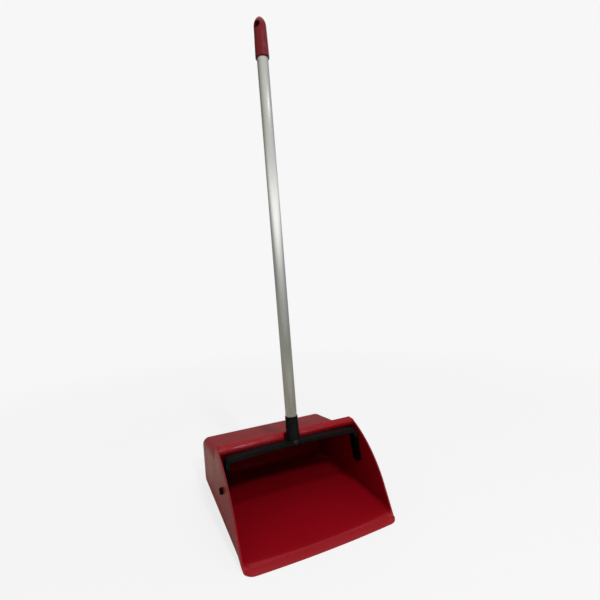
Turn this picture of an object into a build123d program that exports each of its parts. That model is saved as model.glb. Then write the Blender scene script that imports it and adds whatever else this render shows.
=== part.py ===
from build123d import *
import math
import os

# A long-handled lobby dustpan, in millimetres.
# +Z is up, the pan's mouth faces -Y, and the floor is z = 0 under the middle of the pan.

# Pan: overall sizes, with side walls that lean out a little towards the top
PAN_WIDTH = 284.6
PAN_DEPTH = 318.0
WALL = 2.8
FLOOR_WALL = 3.4
SIDE_DRAFT = 0.012

# Pan: mouth, with its ramped and slightly bowed front edge
LIP_EDGE = 0.8
RAMP_LENGTH = 21.0
RAMP_BOW_RADIUS = 1000.0
FRONT_BOW = 5.0
FRONT_CORNER_RADIUS = 19.0
LOW_CORNER_HEIGHT = 2.2
MOUTH_CHAMFER = 2.5
CHAMFER_RUN = 48.0

# Pan: rounding of the box behind the mouth
REAR_RADIUS = 17.0
SIDE_RADIUS = 14.0

# Pan: sloping hood, given at its rear edge
HOOD_REAR_HEIGHT = 101.5
HOOD_SLOPE = math.degrees(math.atan(0.131))

# Pan: rolled lip along the front of the hood
ROLL_RADIUS = 9.0
ROLL_TOP = 143.6
ROLL_FACE_SETBACK = 145.5
ROLL_REAR_LEAN = 60.0
ROLL_CURL_START = 175.0
ROLL_CURL_END = 232.0
ROLL_END_RADIUS = 9.0

# Pan: curved front edge of the side walls, as setback from the mouth and height
EDGE_TOP_ANGLE = 168.0
EDGE_MIDDLE = (96.9, 108.7)
EDGE_LOW = (50.0, 57.2)
EDGE_FOOT = (18.5, 0.0)

# Hinge between pan and yoke
PIVOT_SETBACK = 126.3
PIVOT_HEIGHT = 75.9
STUD_RADIUS = 6.0
PIVOT_CLEARANCE = 0.05
STUD_REACH = 5.5
STUD_DOME = 2.0
HANDLE_LEAN = 4.4

# Yoke: a bow of channel section, with a socket for the tube set back from the hinge
YOKE_SIDE_GAP = 0.8
ARM_WIDTH = 6.2
ARM_SPLAY = 0.085
YOKE_FRONT = 8.0
YOKE_REAR = 13.0
ARM_FOOT = 15.0
ARM_FOOT_RADIUS = 6.5
BAR_BOTTOM = 46.4
BAR_HEIGHT = 6.6
BAR_ARCH = 4.5
YOKE_OUTER_RADIUS = 9.0
GROOVE_WIDTH = 8.5
GROOVE_DEPTH = 3.0
GROOVE_END = 13.0
HUB_HALF_LENGTH = 24.0
AXIS_SETBACK = 6.0
SOCKET_TOP = 102.7
SOCKET_RIM_RADIUS = 12.2
SOCKET_FOOT_RADIUS = 12.7
SOCKET_FLOOR = 48.5
SOCKET_LEAD_IN = 0.7
SOCKET_LEAD_DEPTH = 2.0
HUB_BOTTOM = 46.0
HUB_DOME_RADIUS = 4.0
BOSS_RADIUS = 6.8
BOSS_REACH = 15.0
BOSS_HEIGHT = 54.5
BOSS_RECESS = 1.6
BOSS_RIM = 2.0

# Handle tube
TUBE_RADIUS = 11.0
TUBE_WALL = 1.2
TUBE_BOTTOM = 49.0
TUBE_TOP = 837.0

# Hand grip, measured down the axis from its tip
GRIP_TIP = 873.6
GRIP_LENGTH = 79.5
GRIP_RIM_RADIUS = 13.6
GRIP_NECK_RADIUS = 12.2
GRIP_NECK_DROP = 18.0
GRIP_CROWN_RADIUS = 5.0
HANG_HOLE_RADIUS = 6.6
HANG_HOLE_DROP = 18.2
HANG_HOLE_TURN = 54.0

# Fixing screw that pins the tube in its socket
SCREW_SHANK_RADIUS = 2.1
SCREW_HEAD_RADIUS = 4.4
SCREW_HEAD_HEIGHT = 2.6
SCREW_LENGTH = 13.0
CROSS_WIDTH = 1.1
CROSS_LENGTH = 4.6
CROSS_DEPTH = 1.4

# Recess in the rolled lip that the socket leans back into
RECESS_HALF_WIDTH = 15.5
RECESS_CORNER = 5.0
RECESS_GAP = 0.4

# Places that follow from the sizes above
HALF_WIDTH = PAN_WIDTH / 2
INNER_HALF = HALF_WIDTH - WALL
FRONT = -PAN_DEPTH / 2
BACK = PAN_DEPTH / 2
PIVOT_Y = FRONT + PIVOT_SETBACK
ROLL_FACE = FRONT + ROLL_FACE_SETBACK
ROLL_CENTRE = (ROLL_FACE + ROLL_RADIUS, ROLL_TOP - ROLL_RADIUS)
WALL_AT_PIVOT = HALF_WIDTH + SIDE_DRAFT * PIVOT_HEIGHT
ARM_OUTER = WALL_AT_PIVOT - WALL - YOKE_SIDE_GAP
STUD_TIP = WALL_AT_PIVOT + STUD_REACH
BAR_TOP = BAR_BOTTOM + BAR_HEIGHT
HUB_TOP = BAR_TOP + BAR_ARCH
BEYOND = 40.0


def hood_height(y: float) -> float:
    """Height of the hood's outer plane at a given y."""
    return HOOD_REAR_HEIGHT + (BACK - y) * math.tan(math.radians(HOOD_SLOPE))


def side_profile(*lines) -> Sketch:
    """A closed outline drawn on the YZ plane, with x as Y and y as Z."""
    return Plane.YZ * make_face(list(lines))


def point_on_roll(radius: float, angle: float) -> tuple:
    """A point of the lip's roll, with the angle from +Y towards +Z in degrees."""
    turn = math.radians(angle)
    return (ROLL_CENTRE[0] + radius * math.cos(turn), ROLL_CENTRE[1] + radius * math.sin(turn))


def across(profile: Sketch, half: float) -> Part:
    """Carry a side profile across the pan, between side planes that lean out by the draft."""
    low = -2 * BEYOND
    high = ROLL_TOP + 2 * BEYOND
    section = make_face(Polyline((-half - SIDE_DRAFT * low, low), (half + SIDE_DRAFT * low, low),
                                 (half + SIDE_DRAFT * high, high), (-half - SIDE_DRAFT * high, high),
                                 close=True).edges())
    between = extrude(Plane.XZ * section, 2 * PAN_DEPTH, both=True)
    return extrude(profile, half + BEYOND, both=True) & between


def outer_side_edges(body: Part) -> ShapeList:
    """The edges of a piece's two outermost side faces."""
    sides = body.faces().sort_by(Axis.X)
    return sides[0].edges() + sides[-1].edges()


def rounded_box(bottom: list, back: float, drop: float, corner: float, half: float, edge: float) -> Part:
    """The box of the pan, or its hollow: rear corners and side edges rounded, front left long.

    bottom is the run of lines that makes its floor, from front to back, ending at the start of
    the rear corner, and drop is how far its top lies under the hood's outer plane.
    """
    front_end = bottom[0] @ 0
    floor_end = bottom[-1] @ 1
    slope = math.radians(HOOD_SLOPE)
    top_back = hood_height(back) - drop / math.cos(slope)
    top_front = (front_end.X, hood_height(front_end.X) - drop / math.cos(slope))
    tangent_run = corner * math.tan((math.pi / 2 - slope) / 2)
    wall_top = (back, top_back - tangent_run)
    hood_end = (back - tangent_run * math.cos(slope), top_back + tangent_run * math.sin(slope))
    wall_bottom = (back, floor_end.Y + corner)
    rear_low = TangentArc(floor_end, wall_bottom, tangent=(1, 0))
    rear_top = TangentArc(wall_top, hood_end, tangent=(0, 1))
    body = across(side_profile(*bottom, rear_low, Line(wall_bottom, wall_top), rear_top,
                               Line(hood_end, top_front), Line(top_front, front_end)), half)
    return fillet(outer_side_edges(body).filter_by(lambda e: e.center().Y > front_end.X + 1.0), edge)


def rounded_top(half: float, top: float, radius: float) -> Part:
    """A tall block as wide as the pan, with its two upper side edges rounded."""
    outline = Pos(0.0, top - 2 * BEYOND) * RectangleRounded(2 * half, 4 * BEYOND, radius)
    return extrude(Plane.XZ * outline, PAN_DEPTH, both=True)


def mouth_feet() -> Part:
    """Squarer lower side edges at the mouth, which run out into the box's rounding behind it."""
    start = FRONT - BEYOND
    foot = FRONT + EDGE_FOOT[0]
    end = FRONT + CHAMFER_RUN
    outline = Polyline((start, 0.0), (end, 0.0), (end, SIDE_RADIUS), (start, SIDE_RADIUS), close=True)
    block = across(side_profile(*outline.edges()), HALF_WIDTH)
    for side in (-1, 1):
        low = Vector(side * (HALF_WIDTH - MOUTH_CHAMFER), foot, 0.0)
        high_point = Vector(side * HALF_WIDTH, foot, MOUTH_CHAMFER)
        rear = Vector(side * (HALF_WIDTH - SIDE_RADIUS), end, 0.0)
        outward = (rear - low).cross(high_point - low) * side
        block = split(block, bisect_by=Plane(origin=low, z_dir=outward), keep=Keep.BOTTOM)
    return block


def front_edge() -> list:
    """Front edge of a side wall: from the face of the roll down to the mouth."""
    top = point_on_roll(ROLL_RADIUS, EDGE_TOP_ANGLE)
    middle = (FRONT + EDGE_MIDDLE[0], EDGE_MIDDLE[1])
    low = (FRONT + EDGE_LOW[0], EDGE_LOW[1])
    foot = (FRONT + EDGE_FOOT[0], EDGE_FOOT[1])
    share = LOW_CORNER_HEIGHT / (low[1] - foot[1])
    knee = (foot[0] + share * (low[0] - foot[0]), LOW_CORNER_HEIGHT)
    return [ThreePointArc(top, middle, low), Line(low, knee), Line(knee, (FRONT, 2 * LIP_EDGE))]


def roll_outline(edge: Edge) -> Sketch:
    """Outline of the rolled lip, whose back runs down past the hood's rounded side edges."""
    lean = math.radians(ROLL_REAR_LEAN)
    leave = point_on_roll(ROLL_RADIUS, 90.0 - ROLL_REAR_LEAN)
    drop = (leave[1] - hood_height(leave[0])) / (math.tan(lean) - math.tan(math.radians(HOOD_SLOPE)))
    drop += 1.3 * SIDE_RADIUS / math.tan(lean)
    below_hood = (leave[0] + drop, leave[1] - drop * math.tan(lean))
    low = edge @ 0.6
    inside = (ROLL_CENTRE[0], low.Y)
    crown = ThreePointArc(leave, point_on_roll(ROLL_RADIUS, 90.0), edge @ 0)
    return side_profile(Line(below_hood, leave), crown, edge.trim(0.0, 0.6), Line(low, inside),
                        Line(inside, below_hood))


def pan_outside() -> Part:
    """The pan as a solid lump: box, rolled lip and curved walls, with a rounded mouth in plan."""
    floor = [Line((FRONT - BEYOND, 0.0), (BACK - REAR_RADIUS, 0.0))]
    box = rounded_box(floor, BACK, 0.0, REAR_RADIUS, HALF_WIDTH, SIDE_RADIUS) + mouth_feet()
    edge = front_edge()
    top = edge[0] @ 0
    ahead = FRONT - 2 * BEYOND
    above = ROLL_TOP + BEYOND
    in_front = side_profile(*edge, Line(edge[-1] @ 1, (FRONT, -BEYOND)),
                            Line((FRONT, -BEYOND), (ahead, -BEYOND)), Line((ahead, -BEYOND), (ahead, above)),
                            Line((ahead, above), (top.X, above)), Line((top.X, above), top))
    box -= extrude(in_front, HALF_WIDTH + BEYOND, both=True)
    roll = across(roll_outline(edge[0]), HALF_WIDTH)
    wide = HALF_WIDTH + SIDE_DRAFT * ROLL_TOP
    roll = roll & rounded_top(wide, ROLL_TOP, ROLL_END_RADIUS)
    corner_y = FRONT + FRONT_BOW
    side = HALF_WIDTH + SIDE_DRAFT * SIDE_RADIUS
    bow = ThreePointArc((-side, corner_y), (0.0, FRONT), (side, corner_y))
    mouth = make_face([bow, Line((side, corner_y), (side, corner_y + BEYOND)),
                       Line((side, corner_y + BEYOND), (-side, corner_y + BEYOND)),
                       Line((-side, corner_y + BEYOND), (-side, corner_y))])
    mouth = fillet(mouth.vertices().sort_by(Axis.Y)[:2], FRONT_CORNER_RADIUS)
    behind = Pos(0.0, corner_y + FRONT_CORNER_RADIUS + PAN_DEPTH / 2) * Rectangle(2 * wide, PAN_DEPTH)
    return (box + roll) & extrude(mouth + behind, ROLL_TOP + BEYOND)


def ramp_space(top: float) -> Part:
    """What is open above the ramp, whose crest and slope are bowed in plan as the front edge is."""
    slope = (FLOOR_WALL - LIP_EDGE) / RAMP_LENGTH
    reach = RAMP_BOW_RADIUS + RAMP_LENGTH + BEYOND
    section = Polyline((RAMP_BOW_RADIUS, FLOOR_WALL), (reach, LIP_EDGE - BEYOND * slope), (reach, top),
                       (RAMP_BOW_RADIUS, top), close=True)
    turn = 40.0
    sector = revolve(Plane.XZ * make_face(section.edges()), Axis.Z, revolution_arc=turn)
    axis_y = FRONT + RAMP_LENGTH + RAMP_BOW_RADIUS
    sector = Pos(0.0, axis_y, 0.0) * Rot(0.0, 0.0, -90.0 - turn / 2) * sector
    rear = FRONT + RAMP_LENGTH + BEYOND
    between = Polyline((FRONT - BEYOND, -BEYOND), (rear, -BEYOND), (rear, top),
                       (FRONT - BEYOND, top), close=True)
    space = sector & across(side_profile(*between.edges()), INNER_HALF)
    return fillet(outer_side_edges(space).filter_by(lambda e: e.center().Z < FLOOR_WALL), SIDE_RADIUS - WALL)


def mouth_space(low: float) -> Part:
    """What is open in front of the rolled lip and below its edge, which curls under."""
    start = point_on_roll(ROLL_RADIUS, ROLL_CURL_START)
    tip = point_on_roll(ROLL_RADIUS, ROLL_CURL_END)
    curl = ThreePointArc(tip, point_on_roll(ROLL_RADIUS, (ROLL_CURL_START + ROLL_CURL_END) / 2), start)
    around = Polyline(start, (start[0], ROLL_TOP + BEYOND), (FRONT - BEYOND, ROLL_TOP + BEYOND),
                      (FRONT - BEYOND, low), (tip[0], low), tip)
    return across(side_profile(curl, *around.edges()), INNER_HALF)


def pan_hollow() -> Part:
    """What is taken out of the lump: the box's inside, the open mouth and the hollow of the roll."""
    low = PIVOT_HEIGHT
    floor = [Line((FRONT - BEYOND, FLOOR_WALL), (BACK - REAR_RADIUS, FLOOR_WALL))]
    inside = rounded_box(floor, BACK - WALL, WALL, REAR_RADIUS - WALL, INNER_HALF, SIDE_RADIUS - WALL)
    lean = math.radians(ROLL_REAR_LEAN)
    radius = ROLL_RADIUS - WALL
    leave = point_on_roll(radius, 90.0 - ROLL_REAR_LEAN)
    inner_tip = point_on_roll(radius, ROLL_CURL_END)
    tip = point_on_roll(ROLL_RADIUS, ROLL_CURL_END)
    foot = (leave[0] + (leave[1] - low) / math.tan(lean), low)
    around = Polyline(inner_tip, tip, (tip[0], low), foot, leave)
    roll = side_profile(ThreePointArc(leave, point_on_roll(radius, 130.0), inner_tip), *around.edges())
    under_hood = side_profile(*Polyline((FRONT, 0.0), (BACK, 0.0), (BACK, hood_height(BACK) - 2 * WALL),
                                        (FRONT, hood_height(FRONT) - 2 * WALL), close=True).edges())
    roll_space = across(roll, INNER_HALF) - across(under_hood, INNER_HALF)
    wide = INNER_HALF + SIDE_DRAFT * ROLL_TOP
    roll_space = roll_space & rounded_top(wide, ROLL_TOP - WALL, ROLL_END_RADIUS - WALL)
    roll_space -= recess_prism(WALL, hood_height(ROLL_FACE) - WALL - PIVOT_HEIGHT)
    return inside + ramp_space(low) + mouth_space(low) + roll_space


def along_handle(part: Part) -> Part:
    """Carry a piece from the handle's own frame, with the hinge at its origin, into the pan's frame."""
    return Pos(0.0, PIVOT_Y, PIVOT_HEIGHT) * Rot(-HANDLE_LEAN, 0.0, 0.0) * part


def recess_prism(grow: float, bottom: float) -> Part:
    """The space that the socket leans back into, in the pan's frame, grown on its sides and back."""
    back = AXIS_SETBACK + SOCKET_FOOT_RADIUS + RECESS_GAP + grow
    half = RECESS_HALF_WIDTH + grow
    outline = Pos(0.0, back - BEYOND / 2) * RectangleRounded(2 * half, BEYOND, RECESS_CORNER + grow)
    return along_handle(Pos(0.0, 0.0, bottom) * extrude(outline, SOCKET_TOP - bottom + BEYOND))


def make_pan() -> Part:
    """The moulded pan: floor, walls, hood and rolled lip in one shell."""
    pan = pan_outside() - pan_hollow()
    pan -= recess_prism(0.0, BAR_BOTTOM - BEYOND)
    hole = Cylinder(STUD_RADIUS + PIVOT_CLEARANCE, PAN_WIDTH + BEYOND, rotation=(0.0, 90.0, 0.0))
    return pan - Pos(0.0, PIVOT_Y, PIVOT_HEIGHT) * hole


def arm_half(height: float, inset: float) -> float:
    """Half of the yoke's width at a height over the hinge, taken in from the arms' outer faces."""
    return ARM_OUTER - inset - ARM_SPLAY * (height + ARM_FOOT)


def arched_front(inset: float, bottom: float, top: float) -> Sketch:
    """A front view with the arms' splayed sides and a shallow arch along its top."""
    low = arm_half(bottom, inset)
    high = arm_half(top, inset)
    crown = ThreePointArc((-high, top), (0.0, top + BAR_ARCH), (high, top))
    return make_face([Line((-low, bottom), (-high, top)), crown, Line((high, top), (low, bottom)),
                      Line((low, bottom), (-low, bottom))])


def make_bow() -> Part:
    """The yoke's bow: arched crossbar and two arms, with a groove along its inner side."""
    depth = YOKE_FRONT + YOKE_REAR
    middle = (YOKE_REAR - YOKE_FRONT) / 2
    arm_side = RectangleRounded(depth, HUB_TOP + ARM_FOOT, ARM_FOOT_RADIUS)
    arm_side = Pos(middle, (HUB_TOP - ARM_FOOT) / 2) * arm_side
    arm_side += Pos(middle, HUB_TOP / 2) * Rectangle(depth, HUB_TOP)
    outer = arched_front(0.0, -ARM_FOOT, BAR_TOP)
    outer = fillet(outer.vertices().sort_by(Axis.Y)[-2:], YOKE_OUTER_RADIUS)
    inner = arched_front(ARM_WIDTH, -ARM_FOOT, BAR_BOTTOM)
    bow = extrude(Plane.XZ * (outer - inner), 2 * depth, both=True)
    bow = bow & extrude(Plane.YZ * arm_side, ARM_OUTER, both=True)
    inside = arched_front(ARM_WIDTH - GROOVE_DEPTH, GROOVE_END, BAR_BOTTOM + GROOVE_DEPTH)
    groove = extrude(Plane.XZ * inside, GROOVE_WIDTH / 2, both=True)
    groove -= Box(2 * HUB_HALF_LENGTH, 2 * depth, 2 * SOCKET_TOP)
    return bow - Pos(0.0, middle, 0.0) * groove


def make_yoke() -> Part:
    """The yoke: bow with hinge studs, socket with a rounded foot, and the screw's boss."""
    foot_start = (SOCKET_FOOT_RADIUS - HUB_DOME_RADIUS, HUB_BOTTOM)
    foot_end = (SOCKET_FOOT_RADIUS, HUB_BOTTOM + HUB_DOME_RADIUS)
    socket = revolve(Plane.XZ * make_face([
        Line((0.0, HUB_BOTTOM), foot_start), TangentArc(foot_start, foot_end, tangent=(1, 0)),
        Line(foot_end, (SOCKET_FOOT_RADIUS, HUB_TOP)),
        Line((SOCKET_FOOT_RADIUS, HUB_TOP), (SOCKET_RIM_RADIUS, SOCKET_TOP)),
        Line((SOCKET_RIM_RADIUS, SOCKET_TOP), (0.0, SOCKET_TOP)),
        Line((0.0, SOCKET_TOP), (0.0, HUB_BOTTOM))]), Axis.Z)
    socket = fillet(socket.edges().sort_by(Axis.Z)[-1], 0.3)
    boss = Cylinder(BOSS_RADIUS, BOSS_REACH, align=(Align.CENTER, Align.CENTER, Align.MIN))
    boss = Rot(90.0, 0.0, 0.0) * boss
    boss = fillet(boss.edges().sort_by(Axis.Y)[0], 2.0)
    yoke = make_bow() + Pos(0.0, AXIS_SETBACK, 0.0) * socket + Pos(0.0, AXIS_SETBACK, BOSS_HEIGHT) * boss
    root = arm_half(0.0, ARM_WIDTH / 2)
    for side in (-1, 1):
        yoke += Pos(side * root, 0.0, 0.0) * Rot(0.0, side * 90.0, 0.0) * make_stud(STUD_TIP - root)
    bore = Cylinder(TUBE_RADIUS, SOCKET_TOP, align=(Align.CENTER, Align.CENTER, Align.MIN))
    yoke -= Pos(0.0, AXIS_SETBACK, SOCKET_FLOOR) * bore
    lead_in = Cone(TUBE_RADIUS, TUBE_RADIUS + SOCKET_LEAD_IN, SOCKET_LEAD_DEPTH,
                   align=(Align.CENTER, Align.CENTER, Align.MAX))
    yoke -= Pos(0.0, AXIS_SETBACK, SOCKET_TOP) * lead_in
    face = Pos(0.0, AXIS_SETBACK - BOSS_REACH, BOSS_HEIGHT) * Rot(90.0, 0.0, 0.0)
    yoke -= face * Cylinder(BOSS_RADIUS - BOSS_RIM, 2 * BOSS_RECESS)
    yoke -= face * Cylinder(SCREW_SHANK_RADIUS, 2 * SCREW_LENGTH)
    return along_handle(yoke)


def make_stud(length: float) -> Part:
    """One hinge stud along +Z, from inside the arm to its domed end."""
    stud = Cylinder(STUD_RADIUS, length, align=(Align.CENTER, Align.CENTER, Align.MIN))
    return fillet(stud.edges().sort_by(Axis.Z)[-1], STUD_DOME)


def make_tube() -> Part:
    """The aluminium handle tube."""
    ring = Circle(TUBE_RADIUS) - Circle(TUBE_RADIUS - TUBE_WALL)
    tube = Pos(0.0, 0.0, TUBE_BOTTOM) * extrude(ring, TUBE_TOP - TUBE_BOTTOM)
    screw_hole = Rot(90.0, 0.0, 0.0) * Cylinder(SCREW_SHANK_RADIUS, TUBE_RADIUS)
    tube -= Pos(0.0, -TUBE_RADIUS, BOSS_HEIGHT) * screw_hole
    return along_handle(Pos(0.0, AXIS_SETBACK, 0.0) * tube)


def make_grip() -> Part:
    """The hand grip: a tapered cap over the tube's top, with a cross hole to hang it by."""
    rim = GRIP_TIP - GRIP_LENGTH
    neck = GRIP_TIP - GRIP_NECK_DROP
    taper = math.atan((GRIP_RIM_RADIUS - GRIP_NECK_RADIUS) / (neck - rim))
    crown = TangentArc((GRIP_NECK_RADIUS, neck), (GRIP_CROWN_RADIUS, GRIP_TIP - 1.0),
                       tangent=(-math.sin(taper), math.cos(taper)))
    top = Spline((GRIP_CROWN_RADIUS, GRIP_TIP - 1.0), (0.0, GRIP_TIP), tangents=(crown % 1, (-1, 0)))
    outline = Plane.XZ * make_face([Line((0.0, rim), (GRIP_RIM_RADIUS, rim)),
                                    Line((GRIP_RIM_RADIUS, rim), (GRIP_NECK_RADIUS, neck)), crown, top,
                                    Line((0.0, GRIP_TIP), (0.0, rim))])
    grip = revolve(outline, Axis.Z)
    grip = fillet(grip.edges().sort_by(Axis.Z)[0], 1.0)
    bore = Cylinder(TUBE_RADIUS, TUBE_TOP - rim, align=(Align.CENTER, Align.CENTER, Align.MIN))
    grip -= Pos(0.0, 0.0, rim) * bore
    hole = Rot(90.0, 0.0, 0.0) * Cylinder(HANG_HOLE_RADIUS, 4 * GRIP_RIM_RADIUS)
    grip -= Pos(0.0, 0.0, GRIP_TIP - HANG_HOLE_DROP) * Rot(0.0, 0.0, -HANG_HOLE_TURN) * hole
    return along_handle(Pos(0.0, AXIS_SETBACK, 0.0) * grip)


def make_screw() -> Part:
    """The fixing screw: pan head with a cross recess, and its shank through socket and tube."""
    head = Cylinder(SCREW_HEAD_RADIUS, SCREW_HEAD_HEIGHT, align=(Align.CENTER, Align.CENTER, Align.MIN))
    head = fillet(head.edges().sort_by(Axis.Z)[-1], 1.4)
    shank = Cylinder(SCREW_SHANK_RADIUS, SCREW_LENGTH, align=(Align.CENTER, Align.CENTER, Align.MAX))
    cross = Box(CROSS_LENGTH, CROSS_WIDTH, 2 * CROSS_DEPTH) + Box(CROSS_WIDTH, CROSS_LENGTH, 2 * CROSS_DEPTH)
    screw = head + shank - Pos(0.0, 0.0, SCREW_HEAD_HEIGHT) * cross
    seat = AXIS_SETBACK - BOSS_REACH + BOSS_RECESS
    return along_handle(Pos(0.0, seat, BOSS_HEIGHT) * Rot(90.0, 0.0, 0.0) * screw)


NODES = {
    "pan": make_pan,
    "yoke": make_yoke,
    "handle_tube": make_tube,
    "hand_grip": make_grip,
    "fixing_screw": make_screw,
}

os.makedirs("parts", exist_ok=True)
for name, make in NODES.items():
    solid = make()
    solid.label = name
    export_step(solid, f"parts/{name}.step")
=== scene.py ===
"""Looks of a long-handled lobby dustpan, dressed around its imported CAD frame.

Metres throughout, in the frame of the CAD: +Z up, the pan's mouth towards -Y, the floor at z = 0.
"""

from __future__ import annotations

import logging
import math
from collections.abc import Callable
from dataclasses import dataclass, replace
from enum import Enum, IntEnum

import bmesh
import bpy
from mathutils import Matrix, Vector

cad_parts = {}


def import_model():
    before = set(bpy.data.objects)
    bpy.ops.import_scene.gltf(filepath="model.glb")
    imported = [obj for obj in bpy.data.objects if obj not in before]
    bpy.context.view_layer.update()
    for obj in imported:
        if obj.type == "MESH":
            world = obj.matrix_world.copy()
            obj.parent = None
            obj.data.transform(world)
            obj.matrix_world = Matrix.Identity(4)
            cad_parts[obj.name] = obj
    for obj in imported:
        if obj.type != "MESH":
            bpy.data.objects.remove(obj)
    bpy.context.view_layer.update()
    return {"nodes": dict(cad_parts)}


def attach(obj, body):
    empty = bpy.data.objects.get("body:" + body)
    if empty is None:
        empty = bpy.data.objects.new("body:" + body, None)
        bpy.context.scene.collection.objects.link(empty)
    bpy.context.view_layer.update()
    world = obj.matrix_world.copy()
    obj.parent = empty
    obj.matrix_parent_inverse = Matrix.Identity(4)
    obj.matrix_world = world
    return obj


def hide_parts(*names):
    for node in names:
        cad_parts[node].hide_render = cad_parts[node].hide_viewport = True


LOG = logging.getLogger("lobby_dustpan")

Triple = tuple[float, float, float]
Colour = tuple[float, float, float]
Span = tuple[float, float]
Node = bpy.types.Node
Socket = bpy.types.NodeSocket

RISING: Span = (0.0, 1.0)
FALLING: Span = (1.0, 0.0)
BOX_EDGE: Span = (0.98, 1.0)
PAPER: Colour = (0.93, 0.93, 0.93)
PAPER_SHINE_SHARE = 0.06
ALL_BOUNCES = 1024

# The ramp starts at a bowed crest, an arc round an upright axis far behind the pan.
CREST_CENTRE: Triple = (0.0, 0.862, 0.0)
CREST_REACH = 1.0


class Body(Enum):
    """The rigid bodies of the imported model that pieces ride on."""

    PAN = "pan"
    HANDLE = "handle"


class Slot(Enum):
    """The record's material slots."""

    PAN = "pan_plastic"
    YOKE = "yoke_plastic"
    TUBE = "tube_aluminium"
    GRIP = "grip_plastic"
    SCREW = "screw_steel"


class FinishPlace(IntEnum):
    """Places in a piece's list of finishes; a rounding that is given OWN keeps that of its faces."""

    OWN = -1
    EDGE = 1
    INSIDE = 2


def grey(level: float) -> Colour:
    """A colour with no hue."""
    return level, level, level


@dataclass(frozen=True)
class Pattern:
    """A noise over a piece: how fine it is per metre, its layers of finer noise, and the range that tells.

    It leans by a turn about X, in degrees, before it is stretched by factors along the axes.
    """

    scale: float
    detail: float
    over: Span = (0.3, 0.7)
    stretch: Triple = (1.0, 1.0, 1.0)
    lean: float = 0.0


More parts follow.
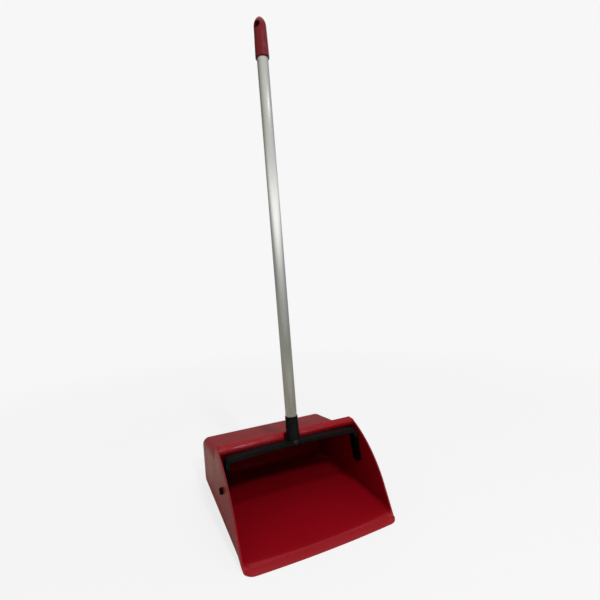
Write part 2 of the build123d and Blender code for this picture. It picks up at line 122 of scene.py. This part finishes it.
class Graph:
    """The node tree of a material or of the world, with short calls to add nodes and wire them."""

    def __init__(self, owner: bpy.types.Material | bpy.types.World) -> None:
        """Start an empty tree.

        Args:
            owner: The material or world whose tree it is.
        """
        owner.use_nodes = True
        self.owner = owner
        self.tree = owner.node_tree
        self.tree.nodes.clear()

    def add(self, kind: str, **inputs: object) -> Node:
        """Add a node.

        Args:
            kind: The node's type, without the word ShaderNode in front.
            **inputs: Settings of the node by attribute name, or sockets by name with
                underscores for spaces; a socket given another node's output is wired to it.

        Returns:
            The new node.
        """
        node = self.tree.nodes.new("ShaderNode" + kind)
        for key, value in inputs.items():
            if hasattr(node, key):
                setattr(node, key, value)
                continue
            label = key.replace("_", " ")
            named = (socket for socket in node.inputs if socket.name == label and socket.enabled)
            self.fill(next(named), value)
        return node

    def fill(self, socket: Socket, value: object) -> None:
        """Give a socket its value.

        Args:
            socket: The socket of a node.
            value: Another node's output, which is wired to it, or what it is set to.
        """
        if isinstance(value, Socket):
            self.tree.links.new(value, socket)
        else:
            socket.default_value = value

    def product(self, first: object, second: object) -> Socket:
        """The product of two numbers or sockets."""
        return self._sum("MULTIPLY", first, second)

    def greater(self, first: object, second: object) -> Socket:
        """The greater of two numbers or sockets."""
        return self._sum("MAXIMUM", first, second)

    def _sum(self, operation: str, first: object, second: object) -> Socket:
        """Do a sum with two numbers.

        Args:
            operation: The sum, by its name on a Math node.
            first: A number or a socket.
            second: A number or a socket.

        Returns:
            The result's socket.
        """
        node = self.add("Math", operation=operation)
        self.fill(node.inputs[0], first)
        self.fill(node.inputs[1], second)
        return node.outputs[0]

    def choose(self, share: Socket, first: Node, second: Node) -> Node:
        """Mix two shaders.

        Args:
            share: Share of the second shader.
            first: The first shader's node.
            second: The second shader's node.

        Returns:
            The mixing node.
        """
        node = self.add("MixShader")
        for socket, value in zip(node.inputs, (share, first.outputs[0], second.outputs[0])):
            self.fill(socket, value)
        return node

    def mix(self, share: Socket, low: Colour | Socket, high: Colour | Socket) -> Socket:
        """Mix two colours.

        Args:
            share: Share of the second colour.
            low: The first colour.
            high: The second colour.

        Returns:
            The mixed colour's socket.
        """
        first, second = ((*colour, 1.0) if isinstance(colour, tuple) else colour for colour in (low, high))
        node = self.add("Mix", data_type="RGBA", Factor=share, A=first, B=second)
        return next(socket for socket in node.outputs if socket.enabled)

    def span(self, value: Socket, over: Span, to: Span = RISING) -> Socket:
        """Map a number from one range to another, clamped.

        Args:
            value: The number's socket.
            over: Start and end of its range.
            to: Results at the start and the end.

        Returns:
            The mapped number's socket.
        """
        node = self.add("MapRange", Value=value, From_Min=over[0], From_Max=over[1],
                        To_Min=to[0], To_Max=to[1])
        return node.outputs["Result"]

    def place(self) -> Socket:
        """The piece's own place, which doesn't slide when it moves."""
        return self.add("TexCoord").outputs["Object"]

    def parts(self, vector: Socket) -> bpy.types.bpy_prop_collection:
        """The three numbers of a vector, by the names of the axes."""
        return self.add("SeparateXYZ", Vector=vector).outputs

    def reach(self, centre: Triple) -> Socket:
        """How far a place is from an upright axis.

        Args:
            centre: A point on the axis.

        Returns:
            The distance's socket.
        """
        flat = self.add("Mapping", Vector=self.place(), Location=tuple(-number for number in centre),
                        Scale=(1.0, 1.0, 0.0))
        return self.add("VectorMath", operation="LENGTH", Vector=flat.outputs[0]).outputs["Value"]

    def within(self, centre: Triple, half: Triple) -> Socket:
        """Whether a place lies in a box.

        Args:
            centre: The box's middle.
            half: Half its sides.

        Returns:
            One inside the box and zero outside it.
        """
        local = self.add("Mapping", Vector=self.place(), Scale=tuple(1.0 / side for side in half),
                         Location=tuple(-middle / side for middle, side in zip(centre, half)))
        sides = self.parts(self.add("VectorMath", operation="ABSOLUTE", Vector=local.outputs[0]).outputs[0])
        furthest = self.greater(self.greater(sides["X"], sides["Y"]), sides["Z"])
        return self.span(furthest, BOX_EDGE, FALLING)

    def noise(self, pattern: Pattern) -> Socket:
        """Noise over the piece's own place.

        Args:
            pattern: The noise.

        Returns:
            The noise's value, around a half.
        """
        turned = self.add("Mapping", Vector=self.place(), Rotation=(math.radians(pattern.lean), 0.0, 0.0))
        mapping = self.add("Mapping", Vector=turned.outputs[0], Scale=pattern.stretch)
        noise = self.add("TexNoise", Vector=mapping.outputs[0], Scale=pattern.scale, Detail=pattern.detail)
        return noise.outputs[0]

    def patches(self, pattern: Pattern, to: Span = RISING) -> Socket:
        """Noise over the piece's own place, with the range that tells mapped to another."""
        return self.span(self.noise(pattern), pattern.over, to)

    def seen(self) -> Socket:
        """One where a thing is looked at, less in a shine, and zero where it only throws light.

        Returns:
            The number's socket.
        """
        path = self.add("LightPath").outputs
        shine = self.product(path["Is Glossy Ray"], PAPER_SHINE_SHARE)
        straight = self.greater(path["Is Camera Ray"], path["Is Transmission Ray"])
        return self.greater(straight, shine)

    def in_shine(self) -> Socket:
        """One where a thing is seen in a shine, and zero elsewhere."""
        return self.add("LightPath").outputs["Is Glossy Ray"]

    def finish(self, shader: Node) -> bpy.types.Material | bpy.types.World:
        """Wire the shader to the output.

        Args:
            shader: The surface's shader node.

        Returns:
            The finished material or world.
        """
        kind = "OutputWorld" if isinstance(self.owner, bpy.types.World) else "OutputMaterial"
        self.fill(self.add(kind).inputs["Surface"], shader.outputs[0])
        return self.owner


@dataclass(frozen=True)
class MouldedPlastic:
    """Injection-moulded plastic: even colour, soft gloss, a fine grain and faint marks of use."""

    name: str
    colour: Colour
    deep_colour: Colour
    mark_colour: Colour
    mark_share: float
    roughness: float
    specular: float
    grain_scale: float
    grain_depth: float
    grain_detail: float = 2.0
    grain_strength: float = 0.25
    cloud: Pattern = Pattern(scale=9.0, detail=3.0, over=(0.35, 0.65))
    wear: Pattern = Pattern(scale=30.0, detail=4.0)
    wear_change: Span = (-0.04, 0.05)
    rub: Pattern = Pattern(scale=55.0, detail=5.0, over=(0.62, 0.74))

    def make(self) -> bpy.types.Material:
        """Build the material.

        Returns:
            The material.
        """
        graph = Graph(bpy.data.materials.new(self.name))
        base = self._tint(graph, graph.mix(graph.patches(self.cloud), self.deep_colour, self.colour))
        smoothest, roughest = (self.roughness + change for change in self.wear_change)
        rough = graph.patches(self.wear, (smoothest, roughest))
        grain = graph.noise(Pattern(self.grain_scale, self.grain_detail))
        bump = graph.add("Bump", Height=grain, Strength=self.grain_strength, Distance=self.grain_depth)
        shader = graph.add("BsdfPrincipled", Base_Color=base, Roughness=rough, Normal=bump.outputs[0])
        shader.inputs["Specular IOR Level"].default_value = self.specular
        return graph.finish(shader)

    def _tint(self, graph: Graph, base: Socket) -> Socket:
        """Rub small pale marks into the colour.

        Args:
            graph: The material's tree.
            base: The colour so far.

        Returns:
            The colour with its marks.
        """
        return graph.mix(graph.patches(self.rub, (0.0, self.mark_share)), base, self.mark_colour)


@dataclass(frozen=True)
class PanPlastic(MouldedPlastic):
    """The pan's plastic: swept along its floor, with painted light along its lip and a painted sheen where
    its mouth thins.
    """

    lip_centre: Triple = (0.0, -0.006, 0.135)
    lip_half: Triple = (0.15, 0.0125, 0.0165)
    # Painted light: the lip is paler than the rest of the pan, as if more brightly lit.
    lip_light_colour: Colour = (0.225, 0.0035, 0.008)
    floor_fade: Span = (0.004, 0.008)
    sweep: Pattern = Pattern(scale=14.0, detail=5.0, over=(0.66, 0.74), stretch=(38.0, 3.0, 38.0))
    # Painted sheen: the ramp past the crest, and a faint strip of floor before it, are paler, as if
    # catching a shine.
    ramp_sheen_colour: Colour = (0.245, 0.01, 0.015)
    behind_crest: Span = (-0.012, -0.002)
    behind_sheen_share: float = 0.12
    past_crest: Span = (-0.002, 0.003)

    def _tint(self, graph: Graph, base: Socket) -> Socket:
        """Add sweeping marks on the floor, painted light on the lip and a painted sheen on the thin mouth.

        Args:
            graph: The material's tree.
            base: The colour so far.

        Returns:
            The colour with these.
        """
        # Painted light on the lip.
        base = graph.mix(graph.within(self.lip_centre, self.lip_half), base, self.lip_light_colour)
        low = graph.span(graph.parts(graph.place())["Z"], self.floor_fade, FALLING)
        swept = graph.product(graph.patches(self.sweep, (0.0, self.mark_share)), low)
        base = graph.mix(swept, base, self.mark_colour)
        # Painted sheen on the ramp and just before its crest.
        reach = graph.reach(CREST_CENTRE)
        behind = graph.span(reach, self._from_crest(self.behind_crest), (0.0, self.behind_sheen_share))
        past = graph.span(reach, self._from_crest(self.past_crest))
        return graph.mix(graph.product(graph.greater(behind, past), low), base, self.ramp_sheen_colour)

    def _from_crest(self, steps: Span) -> Span:
        """Reaches from the crest's axis, by how far past the crest they are."""
        return CREST_REACH + steps[0], CREST_REACH + steps[1]


@dataclass(frozen=True)
class YokePlastic(MouldedPlastic):
    """The yoke's plastic, with painted shade that keeps the arms, under the hood, darker than the bar and
    the socket.
    """

    # Painted shade: the arms are darker than the rest of the yoke.
    arm_shade_colour: Colour = (0.001, 0.001, 0.001)
    arm_shade_fade: Span = (0.11, 0.116)

    def _tint(self, graph: Graph, base: Socket) -> Socket:
        """Paint shade on the arms, below the bar, by deepening their colour.

        Args:
            graph: The material's tree.
            base: The colour so far.

        Returns:
            The colour with its marks and the arms' painted shade.
        """
        low = graph.span(graph.parts(graph.place())["Z"], self.arm_shade_fade, FALLING)
        return graph.mix(low, super()._tint(graph, base), self.arm_shade_colour)


@dataclass(frozen=True)
class DrawnMetal:
    """Metal with a satin finish, in fine lines along a leaning axis that spread a shine across them."""

    name: str
    colour: Colour
    deep_colour: Colour
    roughness: float
    lines: Pattern
    line_depth: float
    line_strength: float = 0.1
    line_change: float = 0.05
    spread: float = 0.0
    cloud: Pattern = Pattern(scale=14.0, detail=4.0)

    def make(self) -> bpy.types.Material:
        """Build the material.

        Returns:
            The material.
        """
        graph = Graph(bpy.data.materials.new(self.name))
        lines = graph.noise(self.lines)
        base = graph.mix(graph.patches(self.cloud), self.deep_colour, self.colour)
        rough = graph.span(lines, self.lines.over,
                           (self.roughness - self.line_change, self.roughness + self.line_change))
        bump = graph.add("Bump", Height=lines, Strength=self.line_strength, Distance=self.line_depth)
        shader = graph.add("BsdfPrincipled", Base_Color=base, Roughness=rough, Normal=bump.outputs[0],
                           Tangent=self._across(graph))
        shader.inputs["Metallic"].default_value = 1.0
        shader.inputs["Anisotropic"].default_value = self.spread
        return graph.finish(shader)

    def _across(self, graph: Graph) -> Socket:
        """The way across the lines, along the surface.

        Args:
            graph: The material's tree.

        Returns:
            The direction's socket.
        """
        lean = math.radians(self.lines.lean)
        across = graph.add("VectorMath", operation="CROSS_PRODUCT")
        graph.fill(across.inputs[0], (0.0, math.sin(lean), math.cos(lean)))
        graph.fill(across.inputs[1], graph.add("NewGeometry").outputs["Normal"])
        return across.outputs[0]


Finish = MouldedPlastic | DrawnMetal

RED_PAN = PanPlastic(
    name="red_moulded_pan",
    colour=(0.2, 0.0024, 0.006),
    deep_colour=(0.19, 0.0021, 0.0052),
    mark_colour=(0.25, 0.012, 0.018),
    mark_share=0.08,
    roughness=0.26,
    specular=0.15,
    grain_scale=900.0,
    grain_depth=0.000006,
)

RED_PAN_INSIDE = replace(
    RED_PAN,
    name="red_swept_inside",
    colour=(0.2, 0.0018, 0.0062),
    deep_colour=(0.19, 0.0016, 0.0054),
    roughness=0.45,
    specular=0.05,
    grain_depth=0.00002,
)

# Painted shade: a darker red for the pan's rounded edges and side rims, so that where the lamps light them
# they read dark; its pale rubbed marks are wear.
RED_PAN_SHADED_EDGE = MouldedPlastic(
    name="red_pan_shaded_edge",
    colour=(0.155, 0.008, 0.012),
    deep_colour=(0.145, 0.0075, 0.011),
    mark_colour=(0.22, 0.03, 0.035),
    mark_share=0.1,
    roughness=0.26,
    specular=0.15,
    grain_scale=900.0,
    grain_depth=0.00001,
)

RED_GRIP = MouldedPlastic(
    name="red_grip",
    colour=(0.13, 0.0034, 0.007),
    deep_colour=(0.12, 0.003, 0.006),
    mark_colour=(0.2, 0.03, 0.035),
    mark_share=0.06,
    roughness=0.22,
    specular=0.2,
    grain_scale=700.0,
    grain_depth=0.00003,
)

BLACK_YOKE = YokePlastic(
    name="black_yoke",
    colour=(0.0042, 0.0052, 0.0049),
    deep_colour=(0.0036, 0.0044, 0.0042),
    mark_colour=(0.012, 0.012, 0.012),
    mark_share=0.1,
    roughness=0.34,
    specular=0.05,
    grain_scale=1400.0,
    grain_depth=0.00004,
)

BLACK_YOKE_EDGE = replace(
    BLACK_YOKE,
    name="black_yoke_edge",
    colour=(0.005, 0.0055, 0.0055),
    deep_colour=(0.004, 0.0045, 0.0045),
    mark_colour=(0.03, 0.03, 0.03),
    mark_share=0.3,
    roughness=0.28,
    specular=0.45,
    grain_depth=0.00003,
)

TUBE_METAL = DrawnMetal(
    name="drawn_tube",
    colour=(0.62, 0.62, 0.6),
    deep_colour=(0.585, 0.585, 0.565),
    roughness=0.26,
    lines=Pattern(scale=60.0, detail=3.0, stretch=(30.0, 30.0, 0.05), lean=4.4),
    line_depth=0.000004,
    spread=1.0,
)

SCREW_METAL = DrawnMetal(
    name="blackened_screw",
    colour=(0.05, 0.049, 0.051),
    deep_colour=(0.035, 0.035, 0.036),
    roughness=0.24,
    lines=Pattern(scale=60.0, detail=3.0, stretch=(20.0, 20.0, 20.0)),
    line_depth=0.00002,
)


@dataclass
class SoftenedSolid:
    """A moulded or turned solid of the frame, with its sharp edges rounded as the real piece's are.

    Angles are in degrees.
    """

    node: str
    name: str
    body: Body
    slot: Slot
    edge_radius: float
    finish: Finish
    edge_finish: Finish | None = None
    edge_angle: float = 32.0
    edge_steps: int = 3
    weld_gap: float = 2e-6
    flat_angle: float = 0.2

    def build(self, nodes: dict[str, bpy.types.Object]) -> bpy.types.Object:
        """Copy the frame's solid, round its edges, dress it and let it ride.

        Args:
            nodes: The frame's objects by node name.

        Returns:
            The finished piece.
        """
        piece = self._copy(nodes[self.node])
        piece.data.materials.append(self.finish.make())
        if self.edge_finish:
            piece.data.materials.append(self.edge_finish.make())
        self._merge()
        self._shape(piece)
        self._round(piece)
        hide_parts(self.node)
        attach(piece, self.body.value)
        return piece

    def _copy(self, source: bpy.types.Object) -> bpy.types.Object:
        """Copy a solid, bare of its finish and of all that the frame notes on it.

        Args:
            source: The frame's object.

        Returns:
            The copy, which is then the active object.
        """
        bpy.ops.object.select_all(action="DESELECT")
        source.select_set(True)
        bpy.context.view_layer.objects.active = source
        bpy.ops.object.duplicate()
        piece = bpy.context.view_layer.objects.active
        piece.name = self.name
        piece.data.name = self.name
        piece.parent = None
        for key in list(piece.keys()):
            del piece[key]
        piece.data.materials.clear()
        return piece

    def _merge(self) -> None:
        """Join the loose triangles of the active solid and clear what divides its flat faces."""
        bpy.ops.object.mode_set(mode="EDIT")
        bpy.ops.mesh.customdata_custom_splitnormals_clear()
        bpy.ops.mesh.select_all(action="SELECT")
        bpy.ops.mesh.remove_doubles(threshold=self.weld_gap)
        bpy.ops.mesh.dissolve_limited(angle_limit=math.radians(self.flat_angle))
        bpy.ops.object.mode_set(mode="OBJECT")

    def _shape(self, piece: bpy.types.Object) -> None:
        """Shape what is the piece's own, before its remaining edges are rounded."""

    def _edge_place(self) -> FinishPlace:
        """The finish that rounded edges take."""
        return FinishPlace.EDGE if self.edge_finish else FinishPlace.OWN

    def _soften(self, piece: bpy.types.Object, chosen: Callable[[Vector], bool], sharper_than: float,
                radius: float, steps: int, finish: FinishPlace) -> None:
        """Round the edges that lie in a chosen place.

        Args:
            piece: The merged solid.
            chosen: Says whether a point lies in that place.
            sharper_than: Least angle between an edge's faces, in degrees.
            radius: How far the rounding reaches from the edge.
            steps: Steps of the rounding.
            finish: The finish that the rounding takes.
        """
        bpy.ops.object.mode_set(mode="EDIT")
        bpy.ops.mesh.select_mode(type="EDGE")
        bpy.ops.mesh.select_all(action="DESELECT")
        mesh = bmesh.from_edit_mesh(piece.data)
        for edge in mesh.edges:
            sharp = edge.is_manifold and edge.calc_face_angle() > math.radians(sharper_than)
            edge.select_set(sharp and all(chosen(point.co) for point in edge.verts))
        bmesh.update_edit_mesh(piece.data)
        bpy.ops.mesh.bevel(offset=radius, segments=steps, affect="EDGES", clamp_overlap=True,
                           material=finish)
        bpy.ops.object.mode_set(mode="OBJECT")

    def _round(self, piece: bpy.types.Object) -> None:
        """Round the sharp edges that are left, and shade the piece evenly.

        Args:
            piece: The merged and shaped solid.
        """
        bevel = piece.modifiers.new("rounded_edges", "BEVEL")
        bevel.width = self.edge_radius
        bevel.segments = self.edge_steps
        bevel.limit_method = "ANGLE"
        bevel.angle_limit = math.radians(self.edge_angle)
        bevel.material = self._edge_place()
        bpy.ops.object.modifier_apply(modifier=bevel.name)
        bpy.ops.object.shade_smooth_by_angle(angle=math.radians(self.edge_angle))
        even = piece.modifiers.new("even_shading", "WEIGHTED_NORMAL")
        even.keep_sharp = True
        bpy.ops.object.modifier_apply(modifier=even.name)


@dataclass
class PanShell(SoftenedSolid):
    """The moulded pan: full-round side rims, a soft, bowed crest before its ramp, and a dull inside."""

    node: str = "pan"
    name: str = "pan_shell"
    body: Body = Body.PAN
    slot: Slot = Slot.PAN
    edge_radius: float = 0.0008
    finish: Finish = RED_PAN
    edge_finish: Finish | None = RED_PAN_SHADED_EDGE
    inside_finish: Finish = RED_PAN_INSIDE
    inside_centre: Triple = (0.0, 0.02, 0.06)
    rim_radius: float = 0.00125
    rim_steps: int = 5
    rim_half_width: float = 0.136
    rim_rear: float = -0.014
    rim_foot: float = 0.014
    rim_most_sideways: float = 0.5
    crest_z: float = 0.0034
    crest_slack: float = 0.0002
    crest_angle: float = 2.0
    crest_round: float = 0.0045
    crest_steps: int = 6

    def _shape(self, piece: bpy.types.Object) -> None:
        """Round the side walls' rims and the ramp's crest, dress the rims in the edge finish's painted
        shade, and the inside in its own finish.

        Args:
            piece: The merged shell.
        """
        piece.data.materials.append(self.inside_finish.make())
        for face in piece.data.polygons:
            # Painted shade: the side rims take the darker edge finish.
            if self._ends_wall(face):
                face.material_index = FinishPlace.EDGE
            elif self._faces_inside(face):
                face.material_index = FinishPlace.INSIDE
        self._soften(piece, self._on_rim, self.edge_angle, self.rim_radius, self.rim_steps,
                     FinishPlace.EDGE)
        self._soften(piece, self._on_crest, self.crest_angle, self.crest_round, self.crest_steps,
                     FinishPlace.OWN)

    def _ends_wall(self, face: bpy.types.MeshPolygon) -> bool:
        """Whether a face is part of a side wall's curved front edge."""
        return self._on_rim(face.center) and abs(face.normal.x) < self.rim_most_sideways

    def _faces_inside(self, face: bpy.types.MeshPolygon) -> bool:
        """Whether a face looks into the scoop, behind the ramp."""
        inward = (Vector(self.inside_centre) - face.center).dot(face.normal) > 0.0
        return inward and self._reach(face.center) < CREST_REACH

    def _on_rim(self, point: Vector) -> bool:
        """Whether a point lies on a side wall's front edge."""
        return abs(point.x) > self.rim_half_width and point.y < self.rim_rear and point.z > self.rim_foot

    def _on_crest(self, point: Vector) -> bool:
        """Whether a point lies on the line where the ramp meets the floor."""
        off = max(abs(self._reach(point) - CREST_REACH), abs(point.z - self.crest_z))
        return off < self.crest_slack

    def _reach(self, point: Vector) -> float:
        """How far a point is from the crest's upright axis."""
        return (point - Vector(CREST_CENTRE)).to_2d().length


@dataclass
class YokeBow(SoftenedSolid):
    """The black yoke: a channelled bow with its hinge studs, its socket and the boss on its hub."""

    node: str = "yoke"
    name: str = "yoke_bow"
    body: Body = Body.HANDLE
    slot: Slot = Slot.YOKE
    edge_radius: float = 0.0005
    finish: Finish = BLACK_YOKE
    edge_finish: Finish | None = BLACK_YOKE_EDGE


@dataclass
class HandleTube(SoftenedSolid):
    """The drawn aluminium tube, whose cut ends are only just broken."""

    node: str = "handle_tube"
    name: str = "tube"
    body: Body = Body.HANDLE
    slot: Slot = Slot.TUBE
    edge_radius: float = 0.0002
    finish: Finish = TUBE_METAL


@dataclass
class HandGrip(SoftenedSolid):
    """The red cap on the tube, with its round cross hole."""

    node: str = "hand_grip"
    name: str = "grip"
    body: Body = Body.HANDLE
    slot: Slot = Slot.GRIP
    edge_radius: float = 0.0006
    finish: Finish = RED_GRIP


@dataclass
class FixingScrew(SoftenedSolid):
    """The screw that pins the tube in its socket."""

    node: str = "fixing_screw"
    name: str = "screw"
    body: Body = Body.HANDLE
    slot: Slot = Slot.SCREW
    edge_radius: float = 0.00015
    finish: Finish = SCREW_METAL


@dataclass
class Viewpoint:
    """The photograph's camera; its angles are in radians, and its lens and sensor in millimetres."""

    place: Triple = (-0.271835, -0.688555, 0.448463)
    yaw: float = 0.424
    pitch: float = 0.067
    roll: float = -0.049
    lens: float = 23.005
    sensor: float = 36.0
    nearest: float = 0.01

    def build(self) -> bpy.types.Object:
        """Make the camera and set it as the scene's.

        Returns:
            The camera.
        """
        ahead = Vector((math.sin(self.yaw) * math.cos(self.pitch),
                        math.cos(self.yaw) * math.cos(self.pitch),
                        -math.sin(self.pitch)))
        level = Vector((math.cos(self.yaw), -math.sin(self.yaw), 0.0))
        above = level.cross(ahead)
        right = math.cos(self.roll) * level + math.sin(self.roll) * above
        up = -math.sin(self.roll) * level + math.cos(self.roll) * above
        data = bpy.data.cameras.new("photo_camera")
        data.sensor_width = self.sensor
        data.lens = self.lens
        data.clip_start = self.nearest
        camera = bpy.data.objects.new("photo_camera", data)
        bpy.context.scene.collection.objects.link(camera)
        turn = Matrix((right, up, -ahead)).transposed().to_4x4()
        camera.matrix_world = Matrix.Translation(self.place) @ turn
        bpy.context.scene.camera = camera
        return camera


@dataclass
class Lamp:
    """A studio lamp, which either lights what it is aimed at or only shows there as a shine.

    Its power is in watts, its spread in degrees, and its width a multiple of its size.
    """

    name: str
    bearing: Triple
    distance: float
    size: float
    power: float
    aim: Triple = (0.0, -0.02, 0.05)
    wide: float = 1.0
    shine: bool = False
    spread: float = 180.0

    def build(self) -> bpy.types.Object:
        """Make the lamp.

        Returns:
            The lamp.
        """
        data = bpy.data.lights.new(self.name, "AREA")
        data.shape = "RECTANGLE"
        data.size = self.size * self.wide
        data.size_y = self.size
        data.energy = self.power
        data.spread = math.radians(self.spread)
        data.cycles.max_bounces = 0 if self.shine else ALL_BOUNCES
        lamp = bpy.data.objects.new(self.name, data)
        bpy.context.scene.collection.objects.link(lamp)
        way = Vector(self.bearing).normalized()
        lamp.location = Vector(self.aim) + way * self.distance
        lamp.rotation_euler = way.to_track_quat("Z", "Y").to_euler()
        lamp.visible_diffuse = not self.shine
        lamp.visible_glossy = self.shine
        lamp.visible_camera = False
        return lamp


@dataclass
class PaperFloor:
    """Pale paper under the dustpan, which keeps its shadow and throws a warm light up at it."""

    half: float = 20.0
    lit_colour: Colour = grey(0.72)
    shadow_share: float = 0.18
    shadow_fade: Span = (0.55, 1.6)
    near_bounce: Colour = (0.97, 0.91, 0.84)
    far_bounce: Colour = (0.32, 0.3, 0.27)
    bounce_fade: Span = (0.3, 0.65)
    # Painted shade: in a shine the paper is darker near the dustpan and in front of it, and paler towards
    # the horizon.
    near_shine: Colour = (0.2, 0.175, 0.145)
    far_shine: Colour = (0.32, 0.29, 0.24)
    far_from: Span = (0.15, 0.28)
    front_shine: Colour = (0.21, 0.2, 0.165)
    front_from: Span = (-0.2, -0.5)
    horizon_shine: Colour = (0.42, 0.42, 0.36)
    horizon_from: Span = (1.0, 2.4)

    def build(self) -> bpy.types.Object:
        """Make the floor.

        Returns:
            The floor.
        """
        bpy.ops.object.select_all(action="DESELECT")
        bpy.ops.mesh.primitive_plane_add(size=2 * self.half, location=(0.0, 0.0, 0.0))
        floor = bpy.context.view_layer.objects.active
        floor.name = "paper_floor"
        floor.data.materials.append(self._paper())
        return floor

    def _paper(self) -> bpy.types.Material:
        """The paper's material: pale where it is seen, with the dustpan's shadow kept near it.

        Returns:
            The material.
        """
        graph = Graph(bpy.data.materials.new("pale_paper"))
        reach = graph.reach((0.0, 0.0, 0.0))
        lit = graph.add("BsdfDiffuse", Color=(*self.lit_colour, 1.0))
        glow = graph.add("Emission", Color=(*PAPER, 1.0), Strength=1.0)
        seen = graph.choose(graph.span(reach, self.shadow_fade, (self.shadow_share, 0.0)), glow, lit)
        bounce = graph.mix(graph.span(reach, self.bounce_fade), self.near_bounce, self.far_bounce)
        thrown = graph.mix(graph.in_shine(), bounce, self._shine(graph, reach))
        return graph.finish(graph.choose(graph.seen(), graph.add("BsdfDiffuse", Color=thrown), seen))

    def _shine(self, graph: Graph, reach: Socket) -> Socket:
        """The paper's colour in a shine: painted shade darkens it near the dustpan and in front, and it
        pales towards the horizon.

        Args:
            graph: The material's tree.
            reach: How far a place is from the middle of the floor.

        Returns:
            The colour's socket.
        """
        shine = graph.mix(graph.span(reach, self.far_from), self.near_shine, self.far_shine)
        ahead = graph.span(graph.parts(graph.place())["Y"], self.front_from)
        shine = graph.mix(ahead, shine, self.front_shine)
        return graph.mix(graph.span(reach, self.horizon_from), shine, self.horizon_shine)


@dataclass
class PlainRoom:
    """The room: pale where it is seen, with its own light for fill and for shine.

    Spans are over a direction's part along X, Y or Z: behind is +Y, in front is -Y.
    """

    rear_fill: Colour = grey(0.7)
    front_fill: Colour = grey(0.31)
    front_fill_from: Span = (0.2, -0.5)
    top_fill: Colour = grey(0.9)
    top_fill_from: Span = (0.5, 0.9)
    rear_shine: Colour = grey(0.2)
    rear_top_shine: Colour = grey(0.04)
    rear_from: Span = (0.4, 0.7)
    rear_top_from: Span = (0.2, 0.5)
    left_shine: Colour = (0.88, 0.87, 0.77)
    right_shine: Colour = (0.85, 0.86, 0.91)
    right_from: Span = (-0.7, 0.5)
    front_from: Span = (0.6, -0.7)
    raised_from: Span = (0.06, 0.2)
    raised_share: Span = (0.4, 1.0)
    band_shine: Colour = grey(1.8)
    band_rise: Span = (0.15, 0.28)
    band_fall: Span = (0.28, 0.42)
    top_shine: Colour = grey(1.2)
    top_from: Span = (0.66, 0.92)

    def build(self) -> bpy.types.World:
        """Make the room's light and set it as the scene's.

        Returns:
            The world.
        """
        graph = Graph(bpy.data.worlds.new("plain_room"))
        way = graph.parts(graph.add("TexCoord").outputs["Generated"])
        level = graph.mix(graph.in_shine(), self._fill(graph, way), self._shine(graph, way))
        light = graph.add("Background", Color=level, Strength=1.0)
        pale = graph.add("Background", Color=(*PAPER, 1.0), Strength=1.0)
        bpy.context.scene.world = graph.finish(graph.choose(graph.seen(), light, pale))
        return bpy.context.scene.world

    def _fill(self, graph: Graph, way: bpy.types.bpy_prop_collection) -> Socket:
        """The light that falls on the dustpan: lowest in front and strongest above.

        Args:
            graph: The world's tree.
            way: A direction's parts along the axes.

        Returns:
            The light's socket.
        """
        fill = graph.mix(graph.span(way["Y"], self.front_fill_from), self.rear_fill, self.front_fill)
        return graph.mix(graph.span(way["Z"], self.top_fill_from), fill, self.top_fill)

    def _shine(self, graph: Graph, way: bpy.types.bpy_prop_collection) -> Socket:
        """What shows in a shine: a dim rear, bright sides and front, a raised band and a pale top.

        Args:
            graph: The world's tree.
            way: A direction's parts along the axes.

        Returns:
            The light's socket.
        """
        behind = graph.product(graph.span(way["Y"], self.rear_from),
                               graph.span(way["Z"], self.rear_top_from))
        rear = graph.mix(behind, self.rear_shine, self.rear_top_shine)
        sides = graph.mix(graph.span(way["X"], self.right_from), self.left_shine, self.right_shine)
        ahead = graph.span(way["Y"], self.front_from)
        raised = graph.span(way["Z"], self.raised_from, self.raised_share)
        shine = graph.mix(graph.product(ahead, raised), rear, sides)
        band = graph.product(graph.span(way["Z"], self.band_rise),
                             graph.span(way["Z"], self.band_fall, FALLING))
        shine = graph.mix(graph.product(ahead, band), shine, self.band_shine)
        return graph.mix(graph.span(way["Z"], self.top_from), shine, self.top_shine)


PIECES = (PanShell(), YokeBow(), HandleTube(), HandGrip(), FixingScrew())

LAMPS = (
    Lamp(name="high_lamp", bearing=(0.03, -0.49, 0.871), distance=2.6, size=0.22, power=15.0),
    Lamp(name="front_lamp", bearing=(0.03, -0.729, 0.684), distance=2.6, size=0.22, power=27.5),
    Lamp(name="lip_shine", bearing=(0.06, -0.955, 0.29), distance=1.2, size=0.06, power=0.12,
         aim=(-0.04, -0.01, 0.163), wide=4.0, shine=True, spread=3.0),
    Lamp(name="tube_shine", bearing=(0.43, -0.745, 0.507), distance=2.6, size=0.1, power=1.0,
         aim=(0.0, 0.04, 0.82), wide=14.0, shine=True),
    Lamp(name="grip_shine", bearing=(0.256, -0.72, 0.646), distance=0.9, size=0.03, power=0.003,
         aim=(0.0, 0.033, 0.885), shine=True, spread=1.0),
)


def main() -> None:
    """Load the frame, dress it and set the studio round it."""
    logging.basicConfig(level=logging.INFO, format="%(name)s: %(message)s")
    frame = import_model()
    bpy.context.scene.view_settings.view_transform = "Standard"
    for solid in PIECES:
        piece = solid.build(frame["nodes"])
        LOG.info("%s stands for %s, %d faces", piece.name, solid.node, len(piece.data.polygons))
    PaperFloor().build()
    PlainRoom().build()
    for lamp in LAMPS:
        lamp.build()
    Viewpoint().build()


if __name__ == "__main__":
    main()
